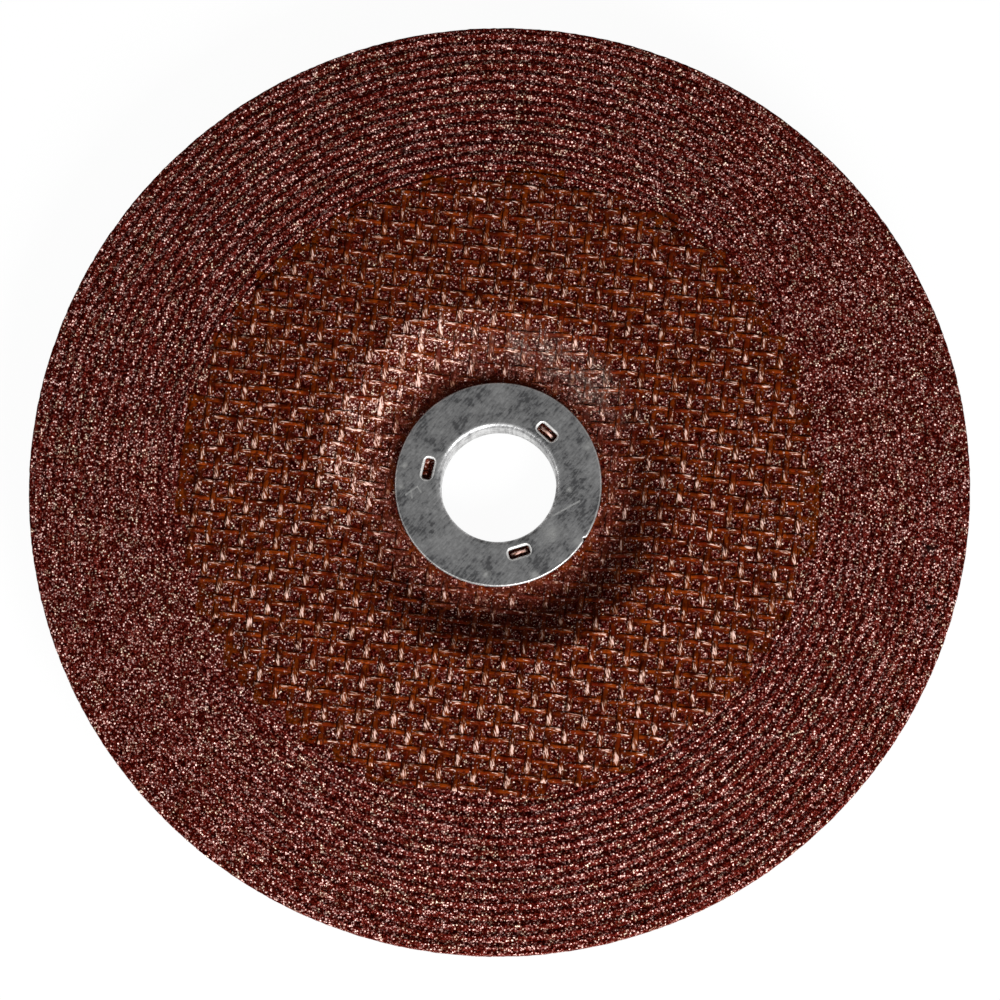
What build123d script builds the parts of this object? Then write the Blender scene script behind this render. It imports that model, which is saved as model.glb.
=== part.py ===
from build123d import *
import os
from math import atan2, ceil, sin, sqrt, tan

# A dished grinding disc, lying on the raised back of its hub.
# Z runs along the bore and points out of the grinding face.
# Z is zero on the back of the hub. All sizes are in millimetres.

# Moulded body
wheel_diameter = 180.0
wheel_thickness = 6.0
hub_thickness = 6.0
hub_depth = 4.2
hub_floor_diameter = 50.4
dish_mouth_diameter = 61.4
dish_wall = 4.9

# Concentric ridges that the mould leaves on the grinding face
ridge_pitch = 2.02
ridge_height = 0.4
rim_drop = 0.4

# Glass fibre net pressed into the face round the hub
net_diameter = 121.0
net_border = 3.8
net_turn = -6.2
weft_pitch = 3.16
weft_width = 0.8
weft_shift = 1.09
warp_pitch = 3.27
warp_width = 1.2
warp_shift = -1.28
yarn_height = 0.25

# Pressed steel arbor ring
bore_diameter = 22.23
ring_diameter = 39.7
flange_thickness = 0.9
collar_wall = 0.8
collar_lip = 1.0
collar_recess = 0.4
land_width = 0.9
net_clearance = 0.1

# Slots in the ring's flange
slot_count = 3
slot_length = 4.1
slot_width = 1.8
slot_corner = 0.5
slot_circle_radius = 13.8
slot_first_angle = 47.0
nick_size = 0.7
nick_angle = -33.0

# Sizes that follow from the ones above
wheel_radius = wheel_diameter / 2
bore_radius = bore_diameter / 2
collar_radius = bore_radius + collar_wall
net_radius = net_diameter / 2
net_thickness = 2 * yarn_height
hub_face = hub_thickness
grinding_face = hub_face + hub_depth
outer_back = grinding_face - wheel_thickness
floor_corner = hub_floor_diameter / 2
mouth_corner = dish_mouth_diameter / 2
dish_angle = atan2(hub_depth, mouth_corner - floor_corner)
land_radius = collar_radius + land_width
net_bore_radius = land_radius + net_clearance
first_crest = net_radius + net_border
ridge_count = ceil((wheel_radius - first_crest) / ridge_pitch)


def dish_line(inner, outer, drop):
    """Section of the face from the hub floor to the flat, lowered by drop."""
    return Polyline(
        (inner, 0, hub_face - drop),
        (floor_corner, 0, hub_face - drop),
        (mouth_corner, 0, grinding_face - drop),
        (outer, 0, grinding_face - drop),
    )


def back_line():
    """Section of the back, from the bore over the raised hub to the rim."""
    slope_shift = dish_wall / sin(dish_angle) - hub_thickness / tan(dish_angle)
    boss_corner = floor_corner + slope_shift
    back_corner = boss_corner + outer_back / tan(dish_angle)
    return Polyline(
        (collar_radius, 0, 0),
        (boss_corner, 0, 0),
        (back_corner, 0, outer_back),
        (wheel_radius, 0, outer_back),
    )


def ridge_line(start):
    """Section of the ridges, from a point beside the net to the rim."""
    valley = grinding_face - ridge_height
    points = [start]
    for number in range(ridge_count):
        crest = first_crest + number * ridge_pitch
        points.append((crest, 0, grinding_face))
        points.append((crest + ridge_pitch / 2, 0, valley))
    points[-1] = (wheel_radius, 0, grinding_face - rim_drop)
    return Polyline(*points)


def abrasive_body():
    """The moulded wheel, with a seat for the net and ridges outside it."""
    seat = dish_line(land_radius, net_radius + net_clearance, net_thickness)
    ridges = ridge_line(seat @ 1)
    back = back_line()
    land = Polyline(
        seat @ 0,
        (land_radius, 0, hub_face),
        (collar_radius, 0, hub_face),
        back @ 0,
    )
    outline = Curve() + [back, Line(back @ 1, ridges @ 1), ridges, seat, land]
    return revolve(make_face(outline), Axis.Z)


def net_layer(low, high):
    """A thin dished sheet that follows the face, between two depths below it."""
    top = dish_line(net_bore_radius, net_diameter, high)
    bottom = dish_line(net_bore_radius, net_diameter, low)
    outline = Curve() + [
        top,
        bottom,
        Line(top @ 0, bottom @ 0),
        Line(top @ 1, bottom @ 1),
    ]
    return revolve(make_face(outline), Axis.Z)


def yarn(offset, width):
    """Outline of one yarn, cut square where it meets the round of the net."""
    half_length = sqrt(net_radius**2 - (abs(offset) + width / 2) ** 2)
    return Pos(0, offset) * Rectangle(2 * half_length, width)


def yarns(pitch, width, shift, angle, layer):
    """Parallel yarns at one pitch, bent into a layer of the net.

    A yarn that would run along the slope of the dish is buried there,
    so only its flat ends are made.
    """
    reach = ceil(net_radius / pitch) + 1
    offsets = [shift + number * pitch for number in range(-reach, reach + 1)]
    offsets = [offset for offset in offsets if abs(offset) < net_radius - width]
    flat = layer - Cylinder(mouth_corner, 2 * grinding_face)
    solids = []
    for sheet, near in ((layer, True), (flat, False)):
        strips = Sketch() + [yarn(y, width) for y in offsets if (abs(y) < floor_corner) == near]
        solids += (sheet & extrude(Rot(0, 0, angle) * strips, grinding_face)).solids()
    return solids


def front_net():
    """Weft yarns on the moulding and warp yarns across them."""
    weft = yarns(weft_pitch, weft_width, weft_shift, net_turn, net_layer(net_thickness, yarn_height))
    warp = yarns(warp_pitch, warp_width, -warp_shift, net_turn + 90, net_layer(yarn_height, 0))
    return Compound(children=weft + warp)


def ring_blank():
    """Flange and collar of the arbor ring, turned in one section."""
    flange_top = hub_face + flange_thickness
    radius = ring_diameter / 2
    outline = Polyline(
        (bore_radius, 0, collar_recess),
        (bore_radius, 0, flange_top - collar_lip),
        (bore_radius + collar_lip, 0, flange_top),
        (radius, 0, flange_top),
        (radius, 0, hub_face),
        (collar_radius, 0, hub_face),
        (collar_radius, 0, collar_recess),
        close=True,
    )
    return revolve(make_face(outline), Axis.Z)


def arbor_ring():
    """Steel ring with its collar through the hub and slots in its flange."""
    slots = PolarLocations(slot_circle_radius, slot_count, start_angle=slot_first_angle)
    opening = RectangleRounded(slot_width, slot_length, slot_corner)
    slot = Pos(0, 0, hub_face) * extrude(opening, flange_thickness)
    nick = Pos(ring_diameter / 2, 0, hub_face + flange_thickness) * Box(nick_size, nick_size, nick_size)
    return ring_blank() - [place * slot for place in slots] - Rot(0, 0, nick_angle) * nick


os.makedirs("parts", exist_ok=True)
export_step(abrasive_body(), "parts/abrasive_body.step")
export_step(front_net(), "parts/front_net.step")
export_step(arbor_ring(), "parts/arbor_ring.step")
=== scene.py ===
"""Grinding disc: the looks of its abrasive body, glass net and arbor ring, and its studio."""

import math

import bmesh
import bpy
import numpy as np
from mathutils import Matrix, Vector
from mathutils.geometry import delaunay_2d_cdt


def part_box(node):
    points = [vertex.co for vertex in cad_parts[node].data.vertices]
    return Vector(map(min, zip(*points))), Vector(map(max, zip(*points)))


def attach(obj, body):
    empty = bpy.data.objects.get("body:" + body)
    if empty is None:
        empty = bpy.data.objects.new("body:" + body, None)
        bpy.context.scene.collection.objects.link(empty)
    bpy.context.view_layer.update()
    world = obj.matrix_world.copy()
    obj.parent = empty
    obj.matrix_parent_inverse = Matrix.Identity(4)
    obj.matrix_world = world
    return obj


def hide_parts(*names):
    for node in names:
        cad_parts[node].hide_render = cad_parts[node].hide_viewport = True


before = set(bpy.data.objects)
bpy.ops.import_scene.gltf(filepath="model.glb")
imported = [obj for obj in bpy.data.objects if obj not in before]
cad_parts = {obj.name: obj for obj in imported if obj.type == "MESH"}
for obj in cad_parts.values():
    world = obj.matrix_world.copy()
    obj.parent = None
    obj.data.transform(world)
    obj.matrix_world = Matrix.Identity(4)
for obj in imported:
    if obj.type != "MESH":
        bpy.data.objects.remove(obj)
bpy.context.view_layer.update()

bl_info = {
    "name": "Grinding Disc",
    "version": (1, 0, 0),
    "blender": (4, 5, 0),
    "location": "3D View > Sidebar > Grinding Disc",
    "description": "Builds a dished grinding disc with a woven glass net and a steel arbor ring",
    "category": "Object",
}

MM = 0.001
TURN = 2 * math.pi
BODY_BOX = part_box("abrasive_body")
RING_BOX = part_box("arbor_ring")

# Radii and heights of the solids
WHEEL_RADIUS = BODY_BOX[1][0]
FACE_Z = BODY_BOX[1][2]
RING_RADIUS = RING_BOX[1][0]
RING_TOP = RING_BOX[1][2]
COLLAR_FOOT = RING_BOX[0][2]
HUB_Z = 6.0 * MM
OUTER_BACK_Z = 4.2 * MM
BORE_RADIUS = 11.115 * MM
COLLAR_RADIUS = 11.915 * MM
FACE_BENDS = (25.2 * MM, 30.7 * MM)
BACK_BENDS = (25.42 * MM, 30.91 * MM)

# The nets, the grit on them and on the face, and the yarns in the slots
NET_SEAT = 0.3 * MM
NET_BORE_RADIUS = 13.2 * MM
INNER_NET_PITCH = 3.2 * MM
FACE_GRIT = 0.345 * MM
NET_GRIT = 0.42 * MM
SLOT_YARN_ANGLES = (47.0, 287.0)
SIDES = 8
AROUND = np.arange(SIDES) * TURN / SIDES

# The slots and the small nick of the ring, with its angle in degrees
SLOT_COUNT = 3
NICK_ANGLE = -33.0
NICK_DEPTH = 0.5 * MM
NICK_WIDTH = 0.33 * MM


def length(name, description, default):
    """A size property in metres."""
    return bpy.props.FloatProperty(
        name=name, description=description, default=default, min=0.0, precision=5, unit="LENGTH"
    )


def angle(name, description, degrees):
    """An angle property, written in degrees."""
    turn = math.radians(degrees)
    return bpy.props.FloatProperty(
        name=name, description=description, default=turn, precision=3, unit="ROTATION"
    )


def colour(name, description, default):
    """A colour property."""
    return bpy.props.FloatVectorProperty(
        name=name,
        description=description,
        default=default,
        size=3,
        min=0.0,
        max=1.0,
        subtype="COLOR",
    )


def share(name, description, default):
    """A plain number property."""
    return bpy.props.FloatProperty(name=name, description=description, default=default, min=0.0)


class GrindingDiscBody(bpy.types.PropertyGroup):
    """Sizes and colours of the abrasive body."""

    ridge_pitch: length("Ridge pitch", "Distance between two ridges of the face", 2.02 * MM)
    ridge_height: length("Ridge height", "Height of a ridge above its valley", 0.4 * MM)
    first_ridge: length("First ridge", "Radius of the crest next to the net", 62.3 * MM)
    bend_radius: length("Bend radius", "Radius of the bends of the dish", 5.0 * MM)
    grain: length("Grain", "Size of the grit on the face", 0.6 * MM)
    back_grain: length("Back grain", "Size of the facets on the back", 1.5 * MM)
    grain_height: length("Grain height", "How far the grit stands in and out", 0.1 * MM)
    resin: colour("Resin", "Dark resin between the grains", (0.013, 0.0004, 0.0002))
    grit: colour("Grit", "Most of the grains", (0.090, 0.0085, 0.0052))
    # The palest grains take the sparkle colour, partly as fresh grains and partly as painted
    # glints, since the face has no specular of its own.
    sparkle: colour("Sparkle", "Fresh broken grains", (0.95, 0.67, 0.61))


class GrindingDiscNet(bpy.types.PropertyGroup):
    """Sizes and colours of the glass net."""

    net_radius: length("Net radius", "Outer radius of the net", 60.5 * MM)
    weft_pitch: length("Weft pitch", "Distance between two weft yarns", 3.1605 * MM)
    weft_width: length("Weft width", "Width of a weft yarn", 1.05 * MM)
    weft_shift: length("Weft shift", "Distance of a weft yarn from the axis", 1.094 * MM)
    weft_angle: angle("Weft angle", "Direction across the weft yarns", 84.22)
    warp_pitch: length("Warp pitch", "Distance between two warp yarns", 3.2737 * MM)
    warp_width: length("Warp width", "Width of a warp yarn", 1.3 * MM)
    warp_shift: length("Warp shift", "Distance of a warp yarn from the axis", 1.9907 * MM)
    warp_angle: angle("Warp angle", "Direction across the warp yarns", -6.64)
    yarn_height: length("Yarn height", "Height of a yarn", 0.3 * MM)
    swing: length("Swing", "How far a yarn rises and dips in the weave", 0.12 * MM)
    amber: colour("Amber", "Resin on the yarns", (0.152, 0.023, 0.0016))
    brown: colour("Brown", "Darker resin on the yarns", (0.028, 0.0022, 0.0002))
    ruddy: colour("Ruddy", "Redder resin on the yarns", (0.085, 0.006, 0.0012))
    # The next two colours paint the glints on the yarns: a warm tint where a glint fades, and pale
    # glass where it is strongest.
    glint_tint: colour("Gold", "Fibre under a thin coat of resin", (0.40, 0.17, 0.045))
    glass: colour("Glass", "Bare glass fibre", (0.72, 0.47, 0.41))


class GrindingDiscRing(bpy.types.PropertyGroup):
    """Sizes and colours of the arbor ring."""

    lip_radius: length("Lip radius", "Rounding of the lip of the bore", 1.0 * MM)
    edge_radius: length("Edge radius", "Rounding of the outer edge", 0.3 * MM)
    slot_length: length("Slot length", "Length of a slot's opening", 4.1 * MM)
    slot_width: length("Slot width", "Width of a slot's opening", 1.8 * MM)
    slot_circle: length("Slot circle", "Distance of a slot from the axis", 13.8 * MM)
    slot_corner: length("Slot corner", "Rounding of a slot's corners", 0.5 * MM)
    slot_rim: length("Slot rim", "Rounding of a slot's rim", 0.45 * MM)
    slot_angle: angle("Slot angle", "Place of the first slot", 47.0)
    zinc: colour("Zinc", "Dull zinc coat", (0.52, 0.52, 0.52))
    stain: colour("Stain", "Darker stains on the zinc", (0.10, 0.10, 0.103))
    # The rim colour stands for the zinc's wear and for a painted highlight on the rims, lips and
    # walls.
    rim: colour("Rim", "Bright worn metal on rims and lips", (0.72, 0.71, 0.69))


class GrindingDiscStage(bpy.types.PropertyGroup):
    """Camera, lamps and floor."""

    distance: length("Distance", "From the camera to the middle of the face", 0.702)
    tilt: angle("Tilt", "Between the camera's line and the bore's axis", 10.28)
    turn: angle("Turn", "Side to which the camera is tilted", 10.1)
    lens: share("Lens", "Focal length in millimetres", 132.43)
    key: share("Key", "Power of the key lamp in watts", 15.0)
    fill: share("Fill", "Strength of the light from all round", 0.35)


# Shader trees


class Tree:
    """Adds nodes to a tree, with a value or another node's socket for each input."""

    def __init__(self, tree):
        self.nodes = tree.nodes
        self.links = tree.links

    def add(self, kind, inputs=(), **settings):
        node = self.nodes.new(kind)
        for name, value in settings.items():
            setattr(node, name, value)
        for name, value in dict(inputs).items():
            self.feed(node.inputs[name], value)
        return node

    def feed(self, socket, value):
        if isinstance(value, bpy.types.NodeSocket):
            self.links.new(value, socket)
        elif socket.type == "RGBA":
            socket.default_value = (*value, 1.0)[:4]
        else:
            socket.default_value = value

    def math(self, operation, a, b=0.0, clamp=False):
        node = self.add("ShaderNodeMath", {0: a, 1: b}, operation=operation, use_clamp=clamp)
        return node.outputs[0]

    def plus(self, a, b, clamp=False):
        return self.math("ADD", a, b, clamp)

    def minus(self, a, b, clamp=False):
        return self.math("SUBTRACT", a, b, clamp)

    def times(self, a, b, clamp=False):
        return self.math("MULTIPLY", a, b, clamp)

    def span(self, value, low, high, start=0.0, end=1.0):
        """Maps low to high onto start to end, and holds it there."""
        inputs = {"Value": value, "From Min": low, "From Max": high, "To Min": start, "To Max": end}
        return self.add("ShaderNodeMapRange", inputs, clamp=True).outputs[0]

    def vector(self, operation, a, b=(0.0, 0.0, 0.0), scale=1.0):
        node = self.add("ShaderNodeVectorMath", {0: a}, operation=operation)
        if operation == "SCALE":
            self.feed(node.inputs["Scale"], scale)
        elif operation not in ("NORMALIZE", "LENGTH"):
            self.feed(node.inputs[1], b)
        return node.outputs["Value" if operation in ("LENGTH", "DISTANCE", "DOT_PRODUCT") else 0]

    def mix(self, factor, a, b):
        node = self.add("ShaderNodeMix", data_type="RGBA", clamp_factor=True)
        for number, value in ((0, factor), (6, a), (7, b)):
            self.feed(node.inputs[number], value)
        return node.outputs[2]

    def place(self):
        """Place on the disc in metres."""
        return self.add("ShaderNodeTexCoord").outputs["Object"]

    def axes(self, value):
        """Parts of a vector."""
        return self.add("ShaderNodeSeparateXYZ", {0: value}).outputs

    def channels(self, value):
        """Parts of a colour."""
        return self.add("ShaderNodeSeparateColor", {0: value}).outputs

    def noise(self, place, scale, detail):
        inputs = {"Vector": place, "Scale": scale, "Detail": detail}
        return self.add("ShaderNodeTexNoise", inputs).outputs

    def attribute(self, name):
        return self.add("ShaderNodeAttribute", attribute_name=name).outputs["Fac"]

    def give(self, **values):
        """Feeds the outputs of a group."""
        out = self.nodes.new("NodeGroupOutput")
        for name, value in values.items():
            self.feed(out.inputs[name], value)


def new_group(name, inputs, outputs):
    """A shader node group with named sockets, its tree, and its input node."""
    group = bpy.data.node_groups.new(name, "ShaderNodeTree")
    for label, kind, default in inputs:
        socket = group.interface.new_socket(name=label, in_out="INPUT", socket_type=kind)
        socket.default_value = default
    for label, kind in outputs:
        group.interface.new_socket(name=label, in_out="OUTPUT", socket_type=kind)
    tree = Tree(group)
    return group, tree, tree.nodes.new("NodeGroupInput").outputs


FLOAT = "NodeSocketFloat"
COLOUR = "NodeSocketColor"
VECTOR = "NodeSocketVector"


def grit_group():
    """Broken grains in dark resin: each grain has its own tone and its own facing; the palest take
    painted glints, and each grain darkens towards its rim, partly with painted shade.
    """
    group, tree, given = new_group(
        "grit",
        [
            ("Grain", FLOAT, 0.0005),
            ("Tilt", FLOAT, 0.6),
            ("Wear_and_glint", FLOAT, 0.0),
            ("Lean", VECTOR, (0.0, 0.0, 0.0)),
            ("Resin", COLOUR, (0.02, 0.002, 0.001, 1.0)),
            ("Grit", COLOUR, (0.1, 0.02, 0.016, 1.0)),
            ("Sparkle", COLOUR, (0.9, 0.7, 0.65, 1.0)),
        ],
        [("Color", COLOUR), ("Normal", VECTOR), ("Tone", FLOAT)],
    )
    place = tree.place()
    place = tree.vector("SCALE", place, scale=tree.math("DIVIDE", 1.0, given["Grain"]))
    cells = tree.add("ShaderNodeTexVoronoi", {"Vector": place, "Scale": 1.0}).outputs
    chips = tree.add("ShaderNodeTexVoronoi", {"Vector": place, "Scale": 1.9}).outputs
    facing = tree.vector("ADD", cells["Color"], tree.vector("SCALE", chips["Color"], scale=0.5))
    facing = tree.vector("SUBTRACT", facing, (0.75, 0.75, 0.75))
    facing = tree.vector("SCALE", facing, scale=given["Tilt"])
    flat = tree.add("ShaderNodeNewGeometry").outputs["Normal"]
    flat = tree.vector("ADD", flat, given["Lean"])
    normal = tree.vector("NORMALIZE", tree.vector("ADD", flat, facing))
    tone = tree.channels(cells["Color"])[0]
    chip = tree.channels(chips["Color"])[1]
    picked = tree.plus(tree.times(tone, 0.62), tree.times(chip, 0.38))
    # Towards a grain's rim the tone falls to the dark resin: partly the resin between the grains
    # and partly painted shade in the gaps.
    edge = tree.span(cells["Distance"], 0.35, 0.75, 0.0, 0.35)
    picked = tree.minus(picked, edge, clamp=True)
    # Where the slope is paled by wear and lit, more grains take the painted glint.
    picked = tree.plus(picked, tree.times(given["Wear_and_glint"], 0.2))
    body = tree.mix(tree.span(picked, 0.12, 0.5), given["Resin"], given["Grit"])
    # The palest grains turn to the sparkle colour: painted glints on fresh grains.
    bright = tree.math("POWER", tree.span(picked, 0.48, 0.9), 2.1)
    made = tree.mix(bright, body, given["Sparkle"])
    tree.give(Color=made, Normal=normal, Tone=picked)
    return group


def mottle_group():
    """Cloudy patches of a few sizes, as a mask from 0 to 1."""
    inputs = [("Patch", FLOAT, 0.004), ("Contrast", FLOAT, 1.0)]
    group, tree, given = new_group("mottle", inputs, [("Mask", FLOAT)])
    place = tree.place()
    place = tree.vector("SCALE", place, scale=tree.math("DIVIDE", 1.0, given["Patch"]))
    inputs = {"Vector": place, "Scale": 1.0, "Detail": 4.0, "Roughness": 0.62}
    cloud = tree.add("ShaderNodeTexNoise", inputs).outputs[0]
    shifted = tree.minus(cloud, 0.5)
    mask = tree.plus(tree.times(shifted, given["Contrast"]), 0.5, clamp=True)
    tree.give(Mask=mask)
    return group


def weave_group():
    """A woven net that shows through the moulding: its yarns as a mask."""
    inputs = [("Place", VECTOR, (0.0, 0.0, 0.0)), ("Width", FLOAT, 0.3)]
    group, tree, given = new_group("weave", inputs, [("Mask", FLOAT), ("Pocket", FLOAT)])
    axes = tree.axes(given["Place"])
    bars, gaps = [], []
    for across, along in ((axes[0], axes[1]), (axes[1], axes[0])):
        near = tree.math("PINGPONG", across, 0.5)
        gaps.append(near)
        bar = tree.minus(1.0, tree.math("DIVIDE", near, given["Width"]), clamp=True)
        row = tree.math("FLOOR", tree.plus(across, 0.5))
        wave = tree.math("SINE", tree.times(tree.plus(along, row), math.pi))
        bars.append(tree.times(bar, tree.span(wave, -1.0, 1.0, 0.35, 1.0)))
    tree.give(Mask=tree.math("MAXIMUM", *bars), Pocket=tree.math("MINIMUM", *gaps))
    return group


# Masks on the slope of the dish: inner and outer radius in millimetres,
# first and last direction in radians.
SLOPE_MASKS = (
    # The first mask lies on the side of the slope that faces the key lamp and stands for wear and
    # painted glints; the second stands for grey dust and a painted sheen.
    ("Worn_and_lit", 22.0, 36.5, 1.4, 3.8),
    ("Dust_sheen", 21.0, 31.5, 0.35, 2.0),
)

# Direction from which the masks' directions are counted both ways, in radians.
MASKS_MIDDLE = 2.2

# How far the face leans inwards at the soft mouth of the dish.
MOUTH_LEAN = 0.39


def slope_group():
    """Masks round the hub: yarns and grit paled by wear and by painted glints on the lit side of
    the slope, grey dust with a painted sheen beside them and smooth resin near the ring; and how
    far the soft mouth of the dish leans inwards."""
    outputs = [("Worn_and_lit", FLOAT), ("Dust_sheen", FLOAT), ("Smooth", FLOAT), ("Lean", VECTOR)]
    group, tree, _ = new_group("slope", [], outputs)
    place = tree.place()
    axes = tree.axes(place)
    plan = tree.add("ShaderNodeCombineXYZ", {0: axes[0], 1: axes[1]}).outputs[0]
    reach = tree.vector("LENGTH", plan)
    x, y = math.cos(MASKS_MIDDLE), math.sin(MASKS_MIDDLE)
    along = tree.vector("DOT_PRODUCT", plan, (x, y, 0.0))
    across = tree.vector("DOT_PRODUCT", plan, (-y, x, 0.0))
    side = tree.plus(tree.math("ARCTAN2", across, along), MASKS_MIDDLE)
    front = tree.span(axes[2], 5.0 * MM, 5.6 * MM)
    cloud = mottle(tree, 4.5 * MM, 4.5)
    ragged = tree.noise(place, 1500.0, 1.0)[0]
    cloud = tree.times(cloud, tree.span(ragged, 0.38, 0.6, 0.15, 1.0))
    cloud = tree.times(cloud, front)
    masks = {}
    for name, inner, outer, low, high in SLOPE_MASKS:
        rise = tree.span(reach, inner * MM, (inner + 3) * MM)
        ring = tree.times(rise, tree.span(reach, outer * MM, (outer - 3.5) * MM))
        sector = tree.times(tree.span(side, low, low + 0.4), tree.span(side, high, high - 0.6))
        masks[name] = tree.times(tree.times(ring, sector), cloud)
    patch = mottle(tree, 2.6 * MM, 5.0)
    near = tree.times(tree.span(reach, 28.0 * MM, 22.0 * MM), front)
    masks["Smooth"] = tree.times(near, tree.span(patch, 0.1, 0.7, 0.2, 1.0))
    fall = tree.span(reach, 35.0 * MM, 33.4 * MM)
    mouth = tree.times(tree.span(reach, 29.3 * MM, 31.3 * MM), fall)
    lean = tree.times(tree.times(mouth, front), -MOUTH_LEAN)
    masks["Lean"] = tree.vector("SCALE", tree.vector("NORMALIZE", plan), scale=lean)
    tree.give(**masks)
    return group


def soil_group():
    """The colour under smooth resin and under grey dust with a painted sheen, which both keep the
    grain's light and dark.
    """
    inputs = [
        ("Color", COLOUR, (0.1, 0.02, 0.016, 1.0)),
        ("Tone", FLOAT, 0.5),
        ("Smooth", FLOAT, 0.0),
        ("Dust_sheen", FLOAT, 0.0),
    ]
    group, tree, given = new_group("soil", inputs, [("Color", COLOUR)])
    light = tree.span(given["Tone"], 0.3, 0.8)
    resin = tree.mix(light, (0.055, 0.012, 0.007), (0.26, 0.09, 0.065))
    # The pale grey is dust and a painted sheen on the slope.
    dust = tree.mix(light, (0.062, 0.042, 0.034), (0.44, 0.345, 0.30))
    made = tree.mix(tree.times(given["Smooth"], 0.4), given["Color"], resin)
    made = tree.mix(tree.times(given["Dust_sheen"], 0.75), made, dust)
    tree.give(Color=made)
    return group


def net_resin_group():
    """Resin of the net in patches of amber, dark brown and red, and the soft noise behind them."""
    inputs = [(name, COLOUR, (0.1, 0.01, 0.001, 1.0)) for name in ("Amber", "Brown", "Ruddy")]
    group, tree, given = new_group("net_resin", inputs, [("Color", COLOUR), ("Soft", COLOUR)])
    place = tree.place()
    soft = tree.noise(place, 420.0, 2.0)[1]
    hue = tree.channels(soft)
    poured = tree.mix(tree.span(hue[0], 0.36, 0.62), given["Brown"], given["Amber"])
    poured = tree.mix(tree.span(hue[1], 0.48, 0.62, 0.0, 0.75), poured, given["Ruddy"])
    tree.give(Color=poured, Soft=soft)
    return group


def shared_group(name):
    """The shader group of that name, built the first time that it is asked for."""
    makers = {
        "grit": grit_group,
        "mottle": mottle_group,
        "weave": weave_group,
        "slope": slope_group,
        "soil": soil_group,
        "net_resin": net_resin_group,
    }
    return bpy.data.node_groups.get(name) or makers[name]()


def place_group(tree, name, values):
    """A shared group in a material's tree, with this material's own values."""
    node = tree.nodes.new("ShaderNodeGroup")
    node.node_tree = shared_group(name)
    for label, value in values.items():
        tree.feed(node.inputs[label], value)
    return node.outputs


def mottle(tree, patch, contrast):
    """Mask of cloudy patches of one size."""
    return place_group(tree, "mottle", {"Patch": patch, "Contrast": contrast})["Mask"]


def place_grit(tree, grain, slope, body):
    """Grit of one grain size, paler with wear and painted glints on the lit side of the slope, and
    darker under smooth resin.
    """
    values = {
        "Grain": grain,
        "Tilt": 0.7,
        "Wear_and_glint": tree.minus(slope["Worn_and_lit"], tree.times(slope["Smooth"], 0.25)),
        "Lean": slope["Lean"],
        "Resin": body.resin,
        "Grit": body.grit,
        "Sparkle": body.sparkle,
    }
    return place_group(tree, "grit", values)


def place_net_resin(tree, net):
    """Resin of the net in this net's own colours."""
    values = {"Amber": net.amber, "Brown": net.brown, "Ruddy": net.ruddy}
    return place_group(tree, "net_resin", values)


def place_soil(tree, made, grit, slope):
    """Smooth resin, and grey dust with a painted sheen, laid over a colour."""
    values = {name: slope[name] for name in ("Smooth", "Dust_sheen")}
    return place_group(tree, "soil", {"Color": made, "Tone": grit["Tone"], **values})["Color"]


def emboss(tree, shader, height, strength, depth, **more):
    """Bumps in the surface, from a mask of their height."""
    values = {"Height": height, "Strength": strength, "Distance": depth, **more}
    tree.feed(shader["Normal"], tree.add("ShaderNodeBump", values).outputs[0])


def new_material(name):
    """A material, its tree and its surface shader."""
    material = bpy.data.materials.new(name)
    material.use_nodes = True
    tree = Tree(material.node_tree)
    return material, tree, material.node_tree.nodes["Principled BSDF"].inputs


# Direction in which the ring's flange was rubbed, in radians.
RUBBED_TURN = 0.85

# Light scuffs on the ring's flange: place and radius, in millimetres.
SCUFFS = (
    (7.0, -17.8, 1.5),
    (-18.0, 3.7, 0.9),
    (-18.7, -0.4, 0.9),
    (17.2, 7.2, 1.2),
    (10.3, -9.6, 2.2),
    (15.3, -11.2, 1.2),
    (-2.3, -17.5, 1.0),
    (13.6, -1.2, 0.8),
)

# Thin scratches on the ring's flange: both ends, in millimetres.
SCRATCHES = (
    ((-17.7, -2.0), (-15.5, -0.4)),
    ((-15.5, -0.4), (-14.8, -1.5)),
    ((-16.7, -1.3), (-16.5, -2.6)),
    ((10.6, -6.2), (15.6, -3.4)),
)

# Oily spots on the face: place on the disc and radius, in millimetres.
SPOTS = (
    (-49.5, 51.2, 1.5),
    (-17.5, 65.3, 1.2),
    (-22.2, -69.6, 1.2),
    (82.0, -13.6, 1.6),
    (81.6, -24.3, 1.4),
)


def net_place(tree, net):
    """Place on the disc counted in yarns of the front net, across the warp and across the weft."""
    place = tree.place()
    counted = []
    for turn, shift, pitch in (
        (net.warp_angle, net.warp_shift, net.warp_pitch),
        (net.weft_angle, net.weft_shift, net.weft_pitch),
    ):
        along = tree.vector("DOT_PRODUCT", place, (math.cos(turn), math.sin(turn), 0.0))
        counted.append(tree.math("DIVIDE", tree.minus(along, shift), pitch))
    return tree.add("ShaderNodeCombineXYZ", {0: counted[0], 1: counted[1]}).outputs[0]


def net_meshes(tree, net, counted):
    """Mask of the net's whole meshes, so that its border steps along the yarns."""
    pitch = (net.warp_pitch, net.weft_pitch, 0.0)
    corner = (net.warp_shift + pitch[0] / 2, net.weft_shift + pitch[1] / 2, 0.0)
    nearest = 1.0
    for x, y in ((0.2, 0.2), (0.2, -0.2), (-0.2, 0.2), (-0.2, -0.2)):
        mesh = tree.vector("FLOOR", tree.vector("ADD", counted, (x, y, 0.0)))
        middle = tree.vector("ADD", tree.vector("MULTIPLY", mesh, pitch), corner)
        nearest = tree.math("MINIMUM", nearest, tree.vector("LENGTH", middle))
    return tree.math("LESS_THAN", nearest, net.net_radius - 0.8 * MM)


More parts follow.
